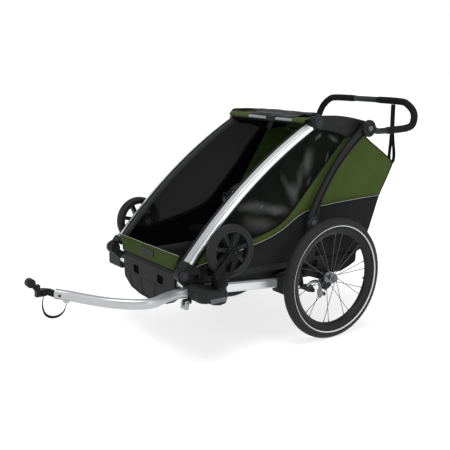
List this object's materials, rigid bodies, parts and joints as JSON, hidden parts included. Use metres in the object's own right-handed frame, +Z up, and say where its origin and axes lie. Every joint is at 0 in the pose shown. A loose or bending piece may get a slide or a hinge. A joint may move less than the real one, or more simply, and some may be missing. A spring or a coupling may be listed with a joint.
{
  "type": "child bike trailer",
  "caption": "Two-seat child trailer for a bicycle: folding side frames, sprung spoked wheels, adjustable handlebar, stowed front wheels and a curved hitch arm.",
  "frame": {"origin": "on the ground under the middle of the trailer's box, tow arm and handlebar included", "axes": "+Y to the rear along the trailer, +X to the trailer's left, +Z up"},
  "size_m": [0.751, 1.7101, 0.9526],
  "materials": {
    "anodised_aluminium": "satin anodised",
    "black_moulded_plastic": "fine grained",
    "black_painted_tube": "satin black paint",
    "grip_foam": "closed foam",
    "grey_button_plastic": "moulded",
    "tyre_rubber": "moulded",
    "black_rubber": "moulded",
    "bright_steel": "turned",
    "light_grey_plastic": "moulded",
    "green_fabric": "coated weave",
    "black_fabric": "woven",
    "grey_padded_fabric": "padded webbing"
  },
  "bodies": {
    "chassis": {"side_rail_left": "anodised_aluminium", "side_rail_right": "anodised_aluminium", "front_cross_tube": "anodised_aluminium", "rear_cross_tube": "anodised_aluminium", "tub": "black_moulded_plastic", "bumper": "black_moulded_plastic", "receiver_left": "black_moulded_plastic", "receiver_right": "black_moulded_plastic", "rear_bracket_left": "black_moulded_plastic", "rear_bracket_right": "black_moulded_plastic", "apron": "green_fabric", "side_panel_left": "green_fabric", "side_panel_right": "green_fabric", "seat": "black_fabric", "trunk": "green_fabric", "harness_left": "grey_padded_fabric", "harness_right": "grey_padded_fabric", "hitch_arm": "anodised_aluminium", "coupling_boot": "black_rubber", "safety_strap": "black_fabric", "suspension_spring_left": "black_rubber", "suspension_spring_right": "black_rubber"},
    "pillar_frame": {"front_pillar_left": "anodised_aluminium", "front_pillar_right": "anodised_aluminium", "pillar_foot_left": "black_moulded_plastic", "pillar_foot_right": "black_moulded_plastic", "roof_front_bar": "black_moulded_plastic"},
    "shoulder_frame": {"shoulder_left": "black_moulded_plastic", "shoulder_right": "black_moulded_plastic", "canopy": "green_fabric", "cover_roll": "black_fabric"},
    "handlebar": {"handlebar": "black_painted_tube", "grip_left": "grip_foam", "grip_right": "grip_foam", "wrist_strap": "black_fabric"},
    "rear_frame": {"rear_pillar_left": "black_moulded_plastic", "rear_pillar_right": "black_moulded_plastic"},
    "brake_pedal": {"brake_pedal": "black_moulded_plastic"},
    "arm_lever": {"arm_lever": "light_grey_plastic"},
    "hitch_cup": {"hitch_cup": "black_moulded_plastic"},
    "handlebar_button_left": {"handlebar_button_left": "grey_button_plastic"},
    "fold_button_left": {"fold_button_left": "grey_button_plastic"},
    "swing_arm_left": {"swing_arm_left": "black_moulded_plastic"},
    "brake_pin_left": {"brake_pin_left": "bright_steel"},
    "wheel_left": {"rear_tyre_left": "tyre_rubber", "rear_wheel_left": "black_moulded_plastic"},
    "wheel_release_button_left": {"wheel_release_button_left": "grey_button_plastic"},
    "fork_left": {"front_fork_left": "black_moulded_plastic"},
    "small_wheel_left": {"front_tyre_left": "tyre_rubber", "front_wheel_left": "black_moulded_plastic"},
    "handlebar_button_right": {"handlebar_button_right": "grey_button_plastic"},
    "fold_button_right": {"fold_button_right": "grey_button_plastic"},
    "swing_arm_right": {"swing_arm_right": "black_moulded_plastic"},
    "brake_pin_right": {"brake_pin_right": "bright_steel"},
    "wheel_right": {"rear_tyre_right": "tyre_rubber", "rear_wheel_right": "black_moulded_plastic"},
    "wheel_release_button_right": {"wheel_release_button_right": "grey_button_plastic"},
    "fork_right": {"front_fork_right": "black_moulded_plastic"},
    "small_wheel_right": {"front_tyre_right": "tyre_rubber", "front_wheel_right": "black_moulded_plastic"}
  },
  "joints": [
    {"name": "frame_fold", "type": "hinge", "parent": "chassis", "child": "pillar_frame", "pos_m": [0, -0.3407, 0.354], "axis": [-1, 0, 0], "range_deg": [0, 36], "deforming": ["side_panel_left", "side_panel_right", "seat", "trunk", "harness_left", "harness_right", "apron"]},
    {"name": "shoulder_fold", "type": "hinge", "parent": "pillar_frame", "child": "shoulder_frame", "pos_m": [0, 0.2953, 0.876], "axis": [1, 0, 0], "range_deg": [0, 61.7]},
    {"name": "rear_frame_fold", "type": "hinge", "parent": "chassis", "child": "rear_frame", "pos_m": [0, 0.2613, 0.48], "axis": [-1, 0, 0], "range_deg": [0, 52.9]},
    {"name": "handlebar_tilt", "type": "hinge", "parent": "shoulder_frame", "child": "handlebar", "pos_m": [0, 0.5413, 0.843], "axis": [1, 0, 0], "range_deg": [-30, 60]},
    {"name": "brake_pedal_press", "type": "hinge", "parent": "chassis", "child": "brake_pedal", "pos_m": [0, 0.3353, 0.27], "axis": [-1, 0, 0], "range_deg": [0, 20], "stiffness_Nm_per_rad": 2, "springref_deg": -28.65},
    {"name": "arm_lever_turn", "type": "hinge", "parent": "chassis", "child": "arm_lever", "pos_m": [0.276, -0.3307, 0.252], "axis": [-1, 0, 0], "range_deg": [0, 40]},
    {"name": "hitch_cup_turn", "type": "hinge", "parent": "chassis", "child": "hitch_cup", "pos_m": [0.072, -0.7917, 0.322], "axis": [0, 0, 1], "range_deg": [-60, 60]},
    {"name": "handlebar_button_left_press", "type": "slide", "parent": "handlebar", "child": "handlebar_button_left", "axis": [-1, 0, 0], "range_m": [0, 0.0035], "stiffness_N_per_m": 500, "springref_m": -0.004},
    {"name": "fold_button_left_press", "type": "slide", "parent": "rear_frame", "child": "fold_button_left", "axis": [-1, 0, 0], "range_m": [0, 0.0035], "stiffness_N_per_m": 500, "springref_m": -0.004},
    {"name": "suspension_left", "type": "hinge", "parent": "chassis", "child": "swing_arm_left", "pos_m": [0.282, 0.2533, 0.283], "axis": [1, 0, 0], "range_deg": [0, 7], "stiffness_Nm_per_rad": 90, "springref_deg": -11.46, "deforming": ["suspension_spring_left"]},
    {"name": "brake_pin_left_slide", "type": "slide", "parent": "swing_arm_left", "child": "brake_pin_left", "axis": [1, 0, 0], "range_m": [0, 0.0045]},
    {"name": "wheel_spin_left", "type": "hinge", "parent": "swing_arm_left", "child": "wheel_left", "pos_m": [0.345, 0.3333, 0.25], "axis": [1, 0, 0], "continuous": true},
    {"name": "wheel_release_left_press", "type": "slide", "parent": "wheel_left", "child": "wheel_release_button_left", "axis": [-1, 0, 0], "range_m": [0, 0.003], "stiffness_N_per_m": 500, "springref_m": -0.004},
    {"name": "fork_swivel_left", "type": "hinge", "parent": "chassis", "child": "fork_left", "pos_m": [0.342, -0.2227, 0.31], "axis": [0, 0, -1], "range_deg": [-10, 190]},
    {"name": "small_wheel_spin_left", "type": "hinge", "parent": "fork_left", "child": "small_wheel_left", "pos_m": [0.342, -0.1767, 0.4375], "axis": [1, 0, 0], "continuous": true},
    {"name": "handlebar_button_right_press", "type": "slide", "parent": "handlebar", "child": "handlebar_button_right", "axis": [1, 0, 0], "range_m": [0, 0.0035], "stiffness_N_per_m": 500, "springref_m": -0.004},
    {"name": "fold_button_right_press", "type": "slide", "parent": "rear_frame", "child": "fold_button_right", "axis": [1, 0, 0], "range_m": [0, 0.0035], "stiffness_N_per_m": 500, "springref_m": -0.004},
    {"name": "suspension_right", "type": "hinge", "parent": "chassis", "child": "swing_arm_right", "pos_m": [-0.282, 0.2533, 0.283], "axis": [1, 0, 0], "range_deg": [0, 7], "stiffness_Nm_per_rad": 90, "springref_deg": -11.46, "deforming": ["suspension_spring_right"]},
    {"name": "brake_pin_right_slide", "type": "slide", "parent": "swing_arm_right", "child": "brake_pin_right", "axis": [-1, 0, 0], "range_m": [0, 0.0045]},
    {"name": "wheel_spin_right", "type": "hinge", "parent": "swing_arm_right", "child": "wheel_right", "pos_m": [-0.345, 0.3333, 0.25], "axis": [1, 0, 0], "continuous": true},
    {"name": "wheel_release_right_press", "type": "slide", "parent": "wheel_right", "child": "wheel_release_button_right", "axis": [1, 0, 0], "range_m": [0, 0.003], "stiffness_N_per_m": 500, "springref_m": -0.004},
    {"name": "fork_swivel_right", "type": "hinge", "parent": "chassis", "child": "fork_right", "pos_m": [-0.342, -0.2227, 0.31], "axis": [0, 0, 1], "range_deg": [-10, 190]},
    {"name": "small_wheel_spin_right", "type": "hinge", "parent": "fork_right", "child": "small_wheel_right", "pos_m": [-0.342, -0.1767, 0.4375], "axis": [1, 0, 0], "continuous": true}
  ],
  "couplings": [
    {"joint": "shoulder_fold", "follows": "frame_fold", "ratio": 1.713},
    {"joint": "rear_frame_fold", "follows": "frame_fold", "ratio": 1.469},
    {"joint": "brake_pin_left_slide", "follows": "brake_pedal_press", "m_per_rad": 0.0128},
    {"joint": "brake_pin_right_slide", "follows": "brake_pedal_press", "m_per_rad": 0.0128}
  ]
}
